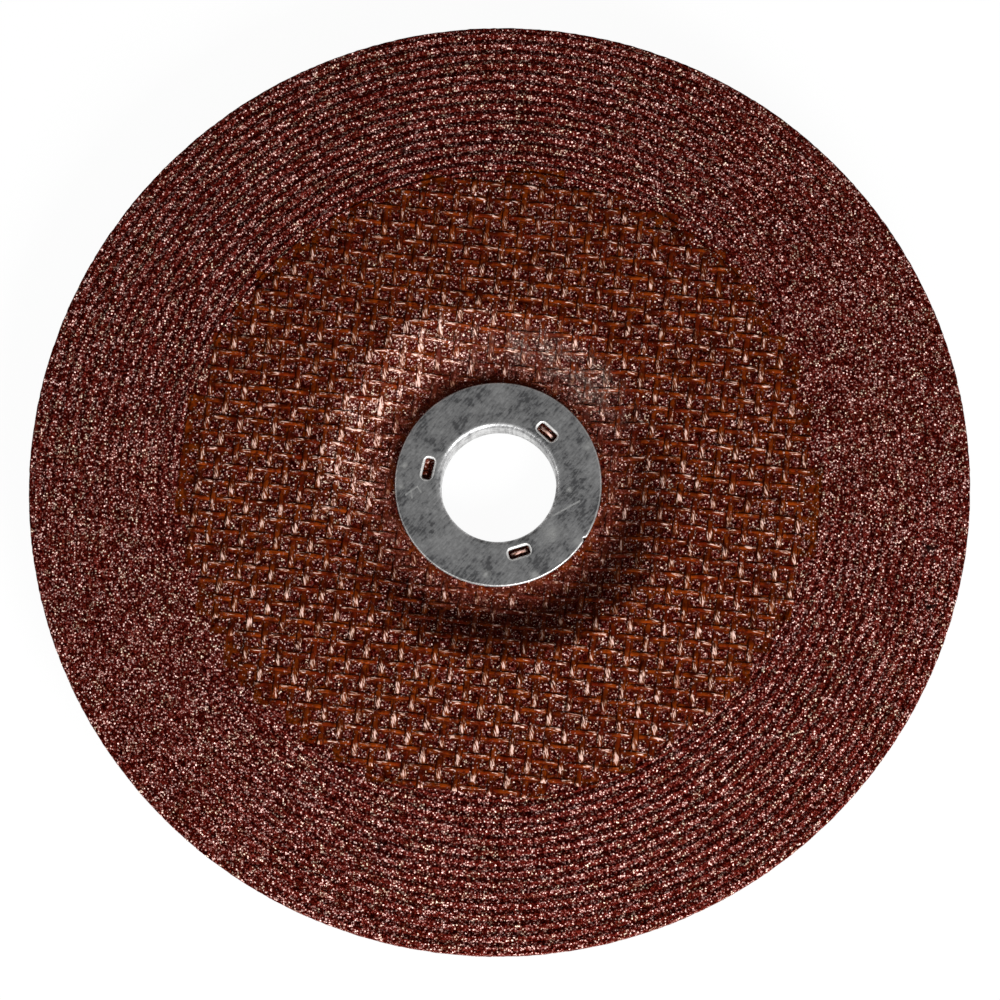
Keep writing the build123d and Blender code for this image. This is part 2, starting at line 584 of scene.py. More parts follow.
def abrasive_material(sizes, net):
    """Grit in dark red-brown resin, with the inner net showing through on the back."""
    material, tree, shader = new_material("red_brown_grit")
    slope = place_group(tree, "slope", {})
    grit = place_grit(tree, FACE_GRIT, slope, sizes)
    cloud = mottle(tree, 9 * MM, 1.4)
    tint = tree.mix(cloud, (0.82, 0.86, 0.9), (1.15, 1.06, 1.0))
    place = tree.place()
    net_resin = place_net_resin(tree, net)
    hue = tree.channels(net_resin["Soft"])[2]
    tint = tree.mix(tree.span(hue, 0.5, 0.66, 0.0, 0.8), tint, (0.86, 1.08, 0.86))
    made = tree.add("ShaderNodeMix", data_type="RGBA", blend_type="MULTIPLY")
    tree.feed(made.inputs[0], 1.0)
    tree.feed(made.inputs[6], grit["Color"])
    tree.feed(made.inputs[7], tint)
    made = made.outputs[2]
    ragged = tree.noise(place, 900.0, 2.0)[0]
    counted = net_place(tree, net)
    pocket = place_group(tree, "weave", {"Place": counted, "Width": 0.3})["Pocket"]
    pocket = tree.plus(pocket, tree.times(tree.minus(ragged, 0.5), 0.3))
    web = tree.span(pocket, 0.2, 0.29, 1.0, 0.0)
    height = tree.axes(place)[2]
    wobble = tree.vector("SUBTRACT", net_resin["Soft"], (0.5, 0.5, 0.5))
    wobble = tree.vector("SCALE", wobble, scale=0.35)
    front = net_meshes(tree, net, tree.vector("ADD", counted, wobble))
    front = tree.times(front, tree.span(height, 5.0 * MM, 5.5 * MM))
    web = tree.times(web, front)
    poured = tree.vector("SCALE", net_resin["Color"], scale=0.72)
    clear = tree.span(grit["Tone"], 0.66, 0.84, 1.0, 0.3)
    made = tree.mix(tree.times(web, clear), made, poured)
    shade = tree.minus(1.0, tree.times(front, 0.2))
    made = tree.vector("SCALE", made, scale=shade)
    made = place_soil(tree, made, grit, slope)
    dull = tree.span(grit["Tone"], 0.6, 0.75, 1.0, 0.0)
    for x, y, radius in SPOTS:
        away = tree.vector("DISTANCE", place, (x * MM, y * MM, FACE_Z))
        away = tree.times(away, tree.span(ragged, 0.35, 0.65, 0.45, 1.9))
        dark = tree.times(tree.span(away, radius * 0.2 * MM, radius * MM, 0.9, 0.0), dull)
        made = tree.mix(dark, made, (0.004, 0.0035, 0.003))
    facing = tree.axes(tree.add("ShaderNodeNewGeometry").outputs["Normal"])[2]
    behind = tree.span(facing, -0.35, -0.75)
    inner = tree.vector("SCALE", place, scale=1 / INNER_NET_PITCH)
    yarns = place_group(tree, "weave", {"Place": inner, "Width": 0.3})["Mask"]
    seen = tree.times(tree.span(yarns, 0.1, 0.7), behind)
    made = tree.mix(tree.times(seen, 0.55), made, (0.10, 0.028, 0.010))
    tree.feed(shader["Base Color"], made)
    tree.feed(shader["Roughness"], tree.span(grit["Tone"], 0.3, 0.8, 0.5, 0.3))
    # No specular on the grit: its glints are painted in its colour.
    shader["Specular IOR Level"].default_value = 0.0
    emboss(tree, shader, seen, 0.9, 0.2 * MM, Normal=grit["Normal"])
    return material


def yarn_material(sizes, body):
    """Glass yarn soaked in amber resin, with a painted glint where it bends down and painted shade
    along its edges.
    """
    material, tree, shader = new_material("amber_glass_yarn")
    along = tree.add("ShaderNodeUVMap", uv_map="yarn").outputs[0]
    axes = tree.axes(along)
    own = tree.attribute("yarn_number")

    def family(warp, weft):
        """One value on the warp yarns, numbered to 50, and one on the weft, numbered from 100."""
        return tree.span(own, 60.0, 90.0, warp, weft)

    # How strong the painted glint is on this point of the yarn.
    glint = tree.attribute("painted_glint")
    sunk = tree.attribute("sunk")
    stretched = {0: tree.times(axes[0], 0.5), 1: axes[1], 2: own}
    stretched = tree.add("ShaderNodeCombineXYZ", stretched).outputs[0]
    fibre = tree.noise(stretched, 5.0, 2.0)[0]
    coarse = tree.noise(stretched, 2.2, 2.0)[0]
    tone = mottle(tree, 0.9 * MM, 4.0)
    depth = tree.plus(tree.times(tone, 0.6), tree.times(tree.span(coarse, 0.3, 0.7), 0.4))
    # Towards both edges the yarn turns to the dark brown resin: painted shade in the gaps beside
    # it.
    across = tree.attribute("across")
    beside = tree.math("ABSOLUTE", tree.minus(across, 0.5))
    depth = tree.times(depth, tree.span(beside, 0.2, 0.46, 1.2, 0.05), clamp=True)
    poured = place_net_resin(tree, sizes)
    resin = tree.mix(tree.span(depth, 0.15, 0.6), sizes.brown, poured["Color"])
    resin = tree.vector("SCALE", resin, scale=family(0.78, 1.12))
    slope = place_group(tree, "slope", {})
    worn_and_lit, dust_and_sheen = slope["Worn_and_lit"], slope["Dust_sheen"]
    grit = place_grit(tree, NET_GRIT, slope, body)
    stuck = tree.span(tree.minus(tree.times(sunk, 0.8), tone), 0.1, 0.6, 0.0, 0.5)
    stuck = tree.plus(stuck, tree.span(grit["Tone"], 0.66, 0.8, 0.0, 0.45), clamp=True)
    plan = tree.vector("MULTIPLY", tree.place(), (1.0, 1.0, 0.0))
    reach = tree.vector("LENGTH", plan)
    floor = tree.times(tree.span(reach, 28 * MM, 24 * MM, 0.0, 0.8), tone)
    # On the lit side of the slope the yarns carry more grit and a stronger painted glint: partly
    # wear and partly painted light.
    stuck = tree.plus(stuck, tree.plus(floor, tree.times(worn_and_lit, 0.45)), clamp=True)
    resin = tree.mix(stuck, resin, grit["Color"])
    resin = place_soil(tree, resin, grit, slope)
    glint = tree.plus(glint, tree.times(worn_and_lit, 0.45), clamp=True)
    # Under the grey dust and painted sheen the yarns' painted glint is weaker.
    glint = tree.times(glint, tree.minus(1.0, tree.times(dust_and_sheen, 0.5)))
    # The painted glint: pale lines of fibre where it is strong, a little dimmer on the warp.
    low = tree.minus(family(0.59, 0.64), tree.times(glint, 0.32))
    high = tree.minus(family(0.70, 0.74), tree.times(glint, 0.24))
    glint_streak = tree.times(tree.span(fibre, low, high), tree.span(glint, 0.05, 0.3))
    glint_colour = tree.mix(glint_streak, sizes.glint_tint, sizes.glass)
    glint_colour = tree.vector("SCALE", glint_colour, scale=family(0.78, 1.0))
    tree.feed(shader["Base Color"], tree.mix(glint_streak, resin, glint_colour))
    tree.feed(shader["Roughness"], tree.span(glint_streak, 0.0, 1.0, 0.4, 0.5))
    shader["Specular IOR Level"].default_value = 0.02
    flat = tree.add("ShaderNodeNewGeometry").outputs["Normal"]
    normal = tree.vector("NORMALIZE", tree.vector("ADD", flat, slope["Lean"]))
    emboss(tree, shader, fibre, 0.8, 0.12 * MM, Normal=normal)
    return material


def zinc_material(sizes):
    """Dull zinc coat with stains, light scuffs and fine scratches, and pale metal on the rims for
    wear and a painted highlight.
    """
    material, tree, shader = new_material("stained_zinc")
    broad = mottle(tree, 5.5 * MM, 4.5)
    fine = mottle(tree, 1.0 * MM, 5.0)
    place = tree.place()
    x, y = math.cos(RUBBED_TURN), math.sin(RUBBED_TURN)
    along = tree.vector("DOT_PRODUCT", place, (520 * x, 520 * y, 0.0))
    across = tree.vector("DOT_PRODUCT", place, (-2600 * y, 2600 * x, 0.0))
    drawn = tree.add("ShaderNodeCombineXYZ", {0: along, 1: across}).outputs[0]
    scratch = tree.noise(drawn, 1.0, 4.0)[0]
    stained = tree.plus(tree.times(broad, 0.46), tree.times(fine, 0.22))
    stained = tree.plus(stained, tree.span(scratch, 0.35, 0.65, 0.0, 0.32))
    stained = tree.span(stained, 0.22, 0.82)
    made = tree.mix(stained, sizes.stain, sizes.zinc)
    ragged = tree.span(fine, 0.0, 1.0, 0.7, 1.5)
    for x, y, radius in SCUFFS:
        away = tree.times(tree.vector("DISTANCE", place, (x * MM, y * MM, RING_TOP)), ragged)
        light = tree.span(away, radius * 0.1 * MM, radius * MM, 0.6, 0.0)
        made = tree.mix(light, made, (0.66, 0.66, 0.64))
    for start, end in SCRATCHES:
        run = Vector(end) - Vector(start)
        offset = tree.vector("SUBTRACT", place, (start[0] * MM, start[1] * MM, RING_TOP))
        part = tree.vector("DOT_PRODUCT", offset, (*run, 0.0))
        part = tree.math("DIVIDE", part, run.length_squared * MM, clamp=True)
        nearest = tree.vector("SCALE", (run.x * MM, run.y * MM, 0.0), scale=part)
        away = tree.vector("DISTANCE", offset, nearest)
        light = tree.span(away, 0.08 * MM, 0.22 * MM, 0.55, 0.0)
        made = tree.mix(light, made, (0.7, 0.7, 0.68))
    # Rims, lips and walls turn pale and less metallic: wear of the zinc and a painted highlight.
    rim = tree.attribute("worn_and_lit_rim")
    made = tree.mix(rim, made, sizes.rim)
    tree.feed(shader["Base Color"], made)
    tree.feed(shader["Metallic"], tree.span(rim, 0.0, 1.0, 0.85, 0.4))
    tree.feed(shader["Roughness"], tree.span(stained, 0.2, 0.8, 0.5, 0.36))
    emboss(tree, shader, tree.plus(fine, scratch), 0.35, 0.05 * MM)
    return material


# Shapes


def bend(radius, first, second, low, high, rounding):
    """Height of a dish that rises from low to high between two corners, with rounded bends."""
    rise = high - low
    slope = math.atan2(rise, second - first)
    reach = rounding * math.tan(slope / 2)
    start, end = first - reach, second + reach
    arc = rounding * math.sin(slope)
    foot = rounding * (1 - math.cos(slope))
    r = np.asarray(radius, float)

    def drop(run):
        return np.sqrt(np.clip(rounding**2 - np.clip(run, 0, arc) ** 2, 0, None))

    lower = low + rounding - drop(r - start)
    upper = high - rounding + drop(end - r)
    straight = low + foot + (r - start - arc) * math.tan(slope)
    return np.where(r < start + arc, lower, np.where(r > end - arc, upper, straight))


def face_height(radius, sizes):
    """Height of the grinding face without its ridges."""
    return bend(radius, *FACE_BENDS, HUB_Z, FACE_Z, sizes.bend_radius)


def back_height(radius, sizes):
    """Height of the back, from the raised hub out to the rim."""
    return bend(radius, *BACK_BENDS, 0.0, OUTER_BACK_Z, sizes.bend_radius)


def bank_height(radius):
    """Height of the grit and resin banked up against the ring's edge."""
    if radius < RING_RADIUS - 0.1 * MM:
        return 0.0
    return 0.7 * MM * math.exp(-(((radius - RING_RADIUS) / (0.9 * MM)) ** 2))


def body_section(sizes, net):
    """Closed section of the body as rows of radius, height, grain and grain height."""
    rows = []
    grain, back_grain, pitch = sizes.grain, sizes.back_grain, sizes.ridge_pitch
    ridge_start = sizes.first_ridge - pitch / 2
    for radius in np.arange(COLLAR_RADIUS, ridge_start - grain / 2, grain * 1.02):
        edge = np.clip((radius - net.net_radius) / (0.7 * MM), 0, 1)
        height = float(face_height(radius, sizes)) - NET_SEAT * (1 - edge) + bank_height(radius)
        rows.append((radius, height, grain, 0.9))
    for radius in np.arange(ridge_start, WHEEL_RADIUS - 0.5 * MM, pitch / 4):
        wave = 0.5 - 0.5 * math.cos(TURN * (radius - sizes.first_ridge) / pitch)
        height = FACE_Z - sizes.ridge_height * wave - 0.04 * MM
        rows.append((radius, height, grain * 0.98, 0.7))
    rows.append((WHEEL_RADIUS - 0.35 * MM, FACE_Z - 0.25 * MM, grain, 0.8))
    for height in np.arange(FACE_Z - 0.6 * MM, OUTER_BACK_Z + 0.4 * MM, -0.85 * MM):
        rows.append((WHEEL_RADIUS - 0.08 * MM, height, grain * 1.5, 0.6))
    rows.append((WHEEL_RADIUS - 0.3 * MM, OUTER_BACK_Z + 0.1 * MM, grain * 1.5, 0.6))
    for radius in np.arange(WHEEL_RADIUS - 1.2 * MM, COLLAR_RADIUS, -back_grain):
        rows.append((radius, float(back_height(radius, sizes)), back_grain, 0.8))
    for height in np.arange(0.3 * MM, HUB_Z - 0.5 * MM, back_grain):
        rows.append((COLLAR_RADIUS, height, back_grain, 0.0))
    return np.array(rows)


def stitch(start_a, angles_a, start_b, angles_b):
    """Triangles between two rings of points that have any number of points each."""
    ends = [np.append(angles, angles[0] + TURN)[1:] for angles in (angles_a, angles_b)]
    steps = np.concatenate(ends)
    on_a = np.argsort(steps, kind="stable") < len(angles_a)
    i = np.cumsum(on_a) - on_a
    j = np.cumsum(~on_a) - ~on_a
    a = start_a + i % len(angles_a)
    b = start_b + j % len(angles_b)
    third = np.where(on_a, start_a + (i + 1) % len(angles_a), start_b + (j + 1) % len(angles_b))
    return np.stack([a, b, third], 1)


def body_mesh(sizes, net):
    """The body as one closed skin of small uneven facets, a grain each."""
    rng = np.random.default_rng(7)
    rows = body_section(sizes, net)
    path = rows[:, :2]
    along = np.roll(path, -1, 0) - np.roll(path, 1, 0)
    along /= np.linalg.norm(along, axis=1)[:, None]
    outward = np.stack([-along[:, 1], along[:, 0]], 1)
    gap = np.linalg.norm(np.roll(path, -1, 0) - path, axis=1)
    points, starts, rings = [], [], []
    total = 0
    for k, (radius, height, grain, rough) in enumerate(rows):
        count = max(24, round(TURN * radius / grain))
        turn = (np.arange(count) + rng.uniform(-0.3, 0.3, count)) * TURN / count
        slide = rng.uniform(-0.28, 0.28, count) * min(gap[k], gap[k - 1]) * min(rough, 1.0)
        lift = rng.normal(0.0, 0.55, count).clip(-1, 1) * sizes.grain_height * rough
        r = radius + slide * along[k, 0] + lift * outward[k, 0]
        z = height + slide * along[k, 1] + lift * outward[k, 1]
        points.append(np.stack([r * np.cos(turn), r * np.sin(turn), z], 1))
        starts.append(total)
        rings.append(turn)
        total += count
    points = np.concatenate(points)
    reach = np.hypot(points[:, 0], points[:, 1])
    held = np.clip(reach, COLLAR_RADIUS, WHEEL_RADIUS - 0.01 * MM) / reach
    points[:, :2] *= held[:, None]
    points[:, 2] = np.clip(points[:, 2], 0.0, FACE_Z)
    pairs = [(k, (k + 1) % len(rings)) for k in range(len(rings))]
    faces = np.concatenate([stitch(starts[a], rings[a], starts[b], rings[b]) for a, b in pairs])
    mesh = bpy.data.meshes.new("abrasive_skin")
    mesh.from_pydata(points.tolist(), [], faces.tolist())
    mesh.validate()
    return mesh


def unit(turn):
    """Direction in the plane of the disc."""
    return np.array([math.cos(turn), math.sin(turn)])


def yarn_runs(offset, across, other, net):
    """Stretches of one yarn between the bore and the net's edge, counted in crossings."""
    other_across, other_shift, other_pitch = other
    direction = np.array([across[1], -across[0]])
    scale = float(other_across @ direction)
    base = offset * float(other_across @ across) - other_shift
    half = net.net_radius + 2 * other_pitch
    low = math.ceil((-half * abs(scale) + base) / other_pitch)
    high = math.floor((half * abs(scale) + base) / other_pitch)
    crossings = np.arange(low, high + 1)
    where = (crossings * other_pitch - base) / scale
    kept = crossings[np.hypot(offset, where) < net.net_radius - 0.3 * MM]
    if len(kept) < 2:
        return []
    fine = np.arange(kept[0] * 4 - 1, kept[-1] * 4 + 2) / 4
    s = (fine * other_pitch - base) / scale
    outside = np.hypot(offset, s) > NET_BORE_RADIUS
    runs = np.split(np.arange(len(fine)), np.flatnonzero(np.diff(outside.astype(int))) + 1)
    return [(fine[run], s[run], direction) for run in runs if outside[run[0]] and len(run) > 2]


# Values kept on each point of the yarns; the third is the strength of their painted glint.
YARN_VALUES = ("across", "yarn_number", "painted_glint", "sunk")


class Yarns:
    """Collects yarns as closed tubes, with the values that their material reads."""

    def __init__(self):
        self.total = 0
        self.faces = []
        self.columns = {name: [] for name in ("point", "uv", *YARN_VALUES)}

    def add(self, centre, side, up, half, height, along, glint, sunk, number, twist=0.0):
        side = side / np.linalg.norm(side, axis=1)[:, None]
        up = up / np.linalg.norm(up, axis=1)[:, None]
        wide = side[:, None] * (half[:, None] * np.cos(AROUND))[..., None]
        tall = up[:, None] * (height / 2 * np.sin(AROUND))[None, :, None]
        rows = len(centre)
        start = self.total + np.arange(rows - 1)[:, None] * SIDES
        a, b = start + np.arange(SIDES), start + (np.arange(SIDES) + 1) % SIDES
        self.faces += np.stack([a, b, b + SIDES, a + SIDES], 2).reshape(-1, 4).tolist()
        end = self.total + (rows - 1) * SIDES
        self.faces.append(list(range(self.total, self.total + SIDES))[::-1])
        self.faces.append(list(range(end, end + SIDES)))
        self.total += rows * SIDES
        across = np.tile(0.5 + 0.5 * np.cos(AROUND), rows)
        made = {
            "point": (centre[:, None] + wide + tall).reshape(-1, 3),
            "uv": np.stack([np.repeat(along, SIDES), across + twist * np.repeat(along, SIDES)], 1),
            "across": across,
            "yarn_number": np.full(rows * SIDES, number),
            "painted_glint": glint.ravel(),
            "sunk": np.repeat(sunk, SIDES),
        }
        for name, column in made.items():
            self.columns[name].append(column)

    def mesh(self, name):
        columns = {label: np.concatenate(parts) for label, parts in self.columns.items()}
        mesh = bpy.data.meshes.new(name)
        mesh.from_pydata(columns["point"].tolist(), [], self.faces)
        for label in YARN_VALUES:
            layer = mesh.attributes.new(label, "FLOAT", "POINT")
            layer.data.foreach_set("value", columns[label].astype(np.float32))
        corner = np.empty(len(mesh.loops), np.int32)
        mesh.loops.foreach_get("vertex_index", corner)
        uv = mesh.uv_layers.new(name="yarn")
        uv.data.foreach_set("uv", columns["uv"][corner].astype(np.float32).ravel())
        mesh.shade_smooth()
        return mesh


def painted_glint(place, plan, over):
    """Strength of the painted glint along a yarn, with its place counted from the nearest crest: on
    the weft, on the flank away from the middle of the disc, to east and west; on the warp, south of
    each crest and stronger towards the south of the disc.
    """
    if over:
        outer = np.where(plan[:, 0] + 4 * MM > 0, place, -place)
        upper = np.exp(-(((np.cos(AROUND) - 0.25) / 0.55) ** 2))
        return 0.85 * np.exp(-(((outer - 0.4) / 0.38) ** 2))[:, None] * upper
    lean = np.clip(0.5 - plan[:, 0] / (60 * MM), 0, 1)[:, None] * 0.16 * np.cos(AROUND)
    south = np.clip(0.8 - plan[:, 1] / (200 * MM), 0.5, 1.0)[:, None]
    upper = np.exp(-((np.cos(AROUND) / 0.75) ** 4))
    return np.exp(-(((place[:, None] + 0.42 - lean) / 0.33) ** 2)) * south * upper


def crest_luck(number, over, crest, plan, reach):
    """How strong the painted glint of each crest may be: less near the ring and on the shaded
    slope.
    """
    count = 400
    dice = np.random.default_rng(1000 * (number + 50) + 13 * over)
    lucky = dice.uniform(0.5 + 0.15 * over, 1.0, count)
    luck = lucky[(crest.astype(int) // 2 + count // 2) % count]
    luck = luck * np.clip((reach - 15 * MM) / (10 * MM), 0.4, 1.0)
    if over:
        return luck
    shaded = np.clip(-plan[:, 1] / (15 * MM), 0, 1)
    shaded = shaded * np.exp(-(((reach - 30 * MM) / (5 * MM)) ** 2))
    return luck * (1 - 0.6 * shaded)


def slot_bulge(turn):
    """A piece of yarn that bulges up through a slot of the ring, with a painted glint along it."""
    count = 9
    step = np.linspace(0, 1, count)
    along, across = unit(turn + math.pi / 2), unit(turn)
    plan = across * 13.8 * MM + np.outer((step - 0.5) * 3.2 * MM, along)
    height = HUB_Z - 0.15 * MM + 0.62 * MM * np.sin(math.pi * step)
    centre = np.concatenate([plan, height[:, None]], 1)
    side = np.tile([*across, 0.0], (count, 1))
    up = np.tile([0.0, 0.0, 1.0], (count, 1))
    half = np.full(count, 0.3 * MM)
    return centre, side, up, half, 0.3 * MM, step, np.full((count, SIDES), 0.75), np.zeros(count)


def net_mesh(sizes, body):
    """Plain-woven yarns that rise and dip over each other and follow the dish."""
    rng = np.random.default_rng(11)
    weft = (unit(sizes.weft_angle), sizes.weft_shift, sizes.weft_pitch)
    warp = (unit(sizes.warp_angle), sizes.warp_shift, sizes.warp_pitch)
    families = ((*weft, sizes.weft_width, warp, 1), (*warp, sizes.warp_width, weft, 0))
    small = 0.05 * MM
    yarns = Yarns()
    for across, shift, pitch, width, other, over in families:
        most = math.ceil(sizes.net_radius / pitch) + 1
        for k in range(-most, most + 1):
            offset = shift + k * pitch
            if abs(offset) > sizes.net_radius:
                continue
            wander = rng.uniform(0, TURN, 2)
            for phase, s, direction in yarn_runs(offset, across, other, sizes):
                drift = np.sin(s / (9 * MM) + wander[0]) + 0.6 * np.sin(s / (3.7 * MM) + wander[1])
                plan = np.outer(offset + 0.10 * MM * drift, across) + np.outer(s, direction)
                reach = np.hypot(plan[:, 0], plan[:, 1])
                steep = face_height(reach + small, body) - face_height(reach - small, body)
                grade = plan / reach[:, None] * (steep / (2 * small))[:, None]
                wave = np.cos(math.pi * (phase + k + over))
                middle = face_height(reach, body) - sizes.swing - sizes.yarn_height / 2
                middle = middle + sizes.swing * wave
                up = np.concatenate([-grade, np.ones((len(s), 1))], 1)
                side = np.concatenate([np.tile(across, (len(s), 1)), (grade @ across)[:, None]], 1)
                half = width / 2 * (1 + rng.normal(0, 0.06, len(s)).clip(-0.15, 0.15))
                crest = 2 * np.round((phase + k + over) / 2)
                # The painted glint of each crest along the yarn.
                luck = crest_luck(k, over, crest, plan, reach)
                glint = painted_glint(phase + k + over - crest, plan, over) * luck[:, None]
                centre = np.concatenate([plan, middle[:, None] - 0.01 * MM], 1)
                number = rng.uniform(0, 50) + 100 * over
                twist = 0.15 if over else 0.8
                made = (centre, side, up, half, sizes.yarn_height, phase, glint, 0.5 - 0.5 * wave)
                yarns.add(*made, number, twist)
    for turn in SLOT_YARN_ANGLES:
        yarns.add(*slot_bulge(math.radians(turn)), rng.uniform(0, 50))
    return yarns.mesh("glass_net")


def circle_loop(radius, count, dent=0.0):
    """Points of a circle, with the small nick in its edge if it has one."""
    turn = np.arange(count) * TURN / count
    away = (turn - math.radians(NICK_ANGLE) + math.pi) % TURN - math.pi
    r = radius - dent * np.exp(-((away * radius / NICK_WIDTH) ** 4))
    return np.stack([r * np.cos(turn), r * np.sin(turn)], 1)


def slot_loop(sizes, number, grow):
    """Outline of one slot, made wider all round by grow."""
    corner = sizes.slot_corner + 0.7 * grow
    turn = np.linspace(0, math.pi / 2, 7)
    shape = []
    straight = np.array([sizes.slot_length / 2 - corner, sizes.slot_width / 2 - corner])
    for quarter, signs in enumerate(((1, 1), (-1, 1), (-1, -1), (1, -1))):
        at = turn + quarter * math.pi / 2
        shape.append(signs * straight + (corner + grow) * np.stack([np.cos(at), np.sin(at)], 1))
    shape = np.concatenate(shape)
    spin = sizes.slot_angle + number * TURN / SLOT_COUNT
    across, along = unit(spin), unit(spin + math.pi / 2)
    return across * sizes.slot_circle + shape[:, :1] * along - shape[:, 1:] * across


def ring_mesh(sizes):
    """Flange with a rounded lip, slots with rounded rims, and the collar in the bore."""
    bm = bmesh.new()
    # Each face's share of the pale rim colour: wear and a painted highlight.
    rim_wear_and_highlight = bm.faces.layers.float.new("worn_and_lit_rim")
    count = 360

    def row(loop, height):
        return [bm.verts.new((x, y, height)) for x, y in loop]

    def band(first, second, flip, worn_and_lit):
        for k in range(len(first)):
            quad = [first[k], first[k - 1], second[k - 1], second[k]]
            bm.faces.new(quad[::-1] if flip else quad)[rim_wear_and_highlight] = worn_and_lit

    def plate(outer, holes, height, flip):
        loops = [outer, *holes]
        flat = [Vector(p) for loop in loops for p in loop]
        edges, start = [], 0
        for loop in loops:
            edges += [(start + k, start + (k + 1) % len(loop)) for k in range(len(loop))]
            start += len(loop)
        made = delaunay_2d_cdt(flat, edges, [], 0, 1e-9)
        verts = [bm.verts.new((p.x, p.y, height)) for p in made[0]]
        for face in made[2]:
            middle = sum((made[0][k] for k in face), Vector((0, 0))) / len(face)
            if inside(middle, outer) and not any(inside(middle, hole) for hole in holes):
                corners = [verts[k] for k in face]
                bm.faces.new(corners[::-1] if flip else corners)

    def inside(point, loop):
        before = np.roll(loop, 1, 0)
        crosses = (loop[:, 1] > point.y) != (before[:, 1] > point.y)
        with np.errstate(divide="ignore", invalid="ignore"):
            run = (before[:, 0] - loop[:, 0]) / (before[:, 1] - loop[:, 1])
            at = loop[:, 0] + (point.y - loop[:, 1]) * run
        return bool(np.count_nonzero(crosses & (point.x < at)) % 2)

    lip, edge, rim = sizes.lip_radius, sizes.edge_radius, sizes.slot_rim
    steps = 6

    def rounded(start, radius, way):
        """Section of a rounding from the top of the flange down to its wall."""
        turns = np.linspace(0, math.pi / 2, steps + 1)
        centre = RING_TOP - radius
        return [(start + way * radius * math.sin(q), centre + radius * math.cos(q)) for q in turns]

    rim_line = [*rounded(RING_RADIUS - edge, edge, 1), (RING_RADIUS, HUB_Z)]
    bore_line = rounded(BORE_RADIUS + lip, lip, -1)
    bore_line += [(BORE_RADIUS, COLLAR_FOOT), (COLLAR_RADIUS, COLLAR_FOOT), (COLLAR_RADIUS, HUB_Z)]
    slot_line = [*rounded(rim, rim, -1), (0.0, HUB_Z)]
    # Each wall with its share of the pale rim colour on its rounding and on its wall, for wear and
    # a painted highlight.
    walls = [
        ([row(circle_loop(r, count, NICK_DEPTH), z) for r, z in rim_line], False, 0.2, 0.9),
        ([row(circle_loop(r, count), z) for r, z in bore_line], True, 0.05, 0.2),
    ]
    for number in range(SLOT_COUNT):
        rows = [row(slot_loop(sizes, number, grow), z) for grow, z in slot_line]
        walls.append((rows, True, 0.65, 0.2))
    for rows, flip, round_worn_and_lit, wall_worn_and_lit in walls:
        for k, (first, second) in enumerate(zip(rows, rows[1:])):
            band(first, second, flip, round_worn_and_lit if k < steps else wall_worn_and_lit)
    for height, inner, outer, grow, flip in (
        (RING_TOP, BORE_RADIUS + lip, RING_RADIUS - edge, rim, False),
        (HUB_Z, COLLAR_RADIUS, RING_RADIUS, 0.0, True),
    ):
        slots = [slot_loop(sizes, number, grow) for number in range(SLOT_COUNT)]
        holes = [circle_loop(inner, count), *slots]
        plate(circle_loop(outer, count, NICK_DEPTH), holes, height, flip)
    bmesh.ops.remove_doubles(bm, verts=bm.verts, dist=1e-6)
    bmesh.ops.recalc_face_normals(bm, faces=bm.faces)
    mesh = bpy.data.meshes.new("ring_steel")
    bm.to_mesh(mesh)
    bm.free()
    mesh.shade_smooth()
    return mesh


def add_piece(name, mesh, material, node):
    """A piece that stands for a node of the model, whose part it hides, with the material that it
    is given.
    """
    piece = bpy.data.objects.new(name, mesh)
    bpy.context.scene.collection.objects.link(piece)
    mesh.materials.append(material)
    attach(piece, "root")
    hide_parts(node)
    return piece


class OBJECT_OT_abrasive_body(bpy.types.Operator):
    """Build the abrasive body with its ridges, dish and grit"""

    bl_idname = "grinding_disc.abrasive_body"
    bl_label = "Abrasive body"

    def execute(self, context):
        sizes = context.scene.grinding_disc_body
        net = context.scene.grinding_disc_net
        skin = body_mesh(sizes, net)
        add_piece("abrasive_face", skin, abrasive_material(sizes, net), "abrasive_body")
        return {"FINISHED"}


class OBJECT_OT_glass_net(bpy.types.Operator):
    """Weave the glass net over the hub and the dish"""

    bl_idname = "grinding_disc.glass_net"
    bl_label = "Glass net"

    def execute(self, context):
        sizes = context.scene.grinding_disc_net
        body = context.scene.grinding_disc_body
        yarns = net_mesh(sizes, body)
        add_piece("woven_net", yarns, yarn_material(sizes, body), "front_net")
        return {"FINISHED"}


class OBJECT_OT_arbor_ring(bpy.types.Operator):
    """Press the arbor ring with its lip, collar and slots"""

    bl_idname = "grinding_disc.arbor_ring"
    bl_label = "Arbor ring"

    def execute(self, context):
        sizes = context.scene.grinding_disc_ring
        steel = ring_mesh(sizes)
        piece = add_piece("steel_ring", steel, zinc_material(sizes), "arbor_ring")
        weighted = piece.modifiers.new("even_normals", "WEIGHTED_NORMAL")
        weighted.weight = 100
        return {"FINISHED"}


# Lamps: share of the key lamp's power, width and height in metres, and the side and the
# height that they stand at in degrees.
LAMPS = {
    "key_lamp": (1.0, (0.4, 0.25), -58.0, 28.0),
    "front_lamp": (0.15, (0.5, 0.25), -125.0, 30.0),
    "left_lamp": (0.05, (0.3, 0.3), 180.0, 35.0),
}
LAMP_DISTANCE = 0.8
CAMERA_SHIFT = (0.0025, -0.0191)


def add_lamp(name, power, size, turn, height):
    """A soft lamp that looks at the disc from a side and a height, both in degrees."""
    lamp = bpy.data.lights.new(name, "AREA")
    lamp.shape = "RECTANGLE"
    lamp.size, lamp.size_y = size
    lamp.energy = power
    piece = bpy.data.objects.new(name, lamp)
    side = unit(math.radians(turn)) * math.cos(math.radians(height))
    away = Vector((side[0], side[1], math.sin(math.radians(height))))
    piece.location = away * LAMP_DISTANCE
    piece.rotation_euler = away.to_track_quat("Z", "Y").to_euler()
    bpy.context.scene.collection.objects.link(piece)


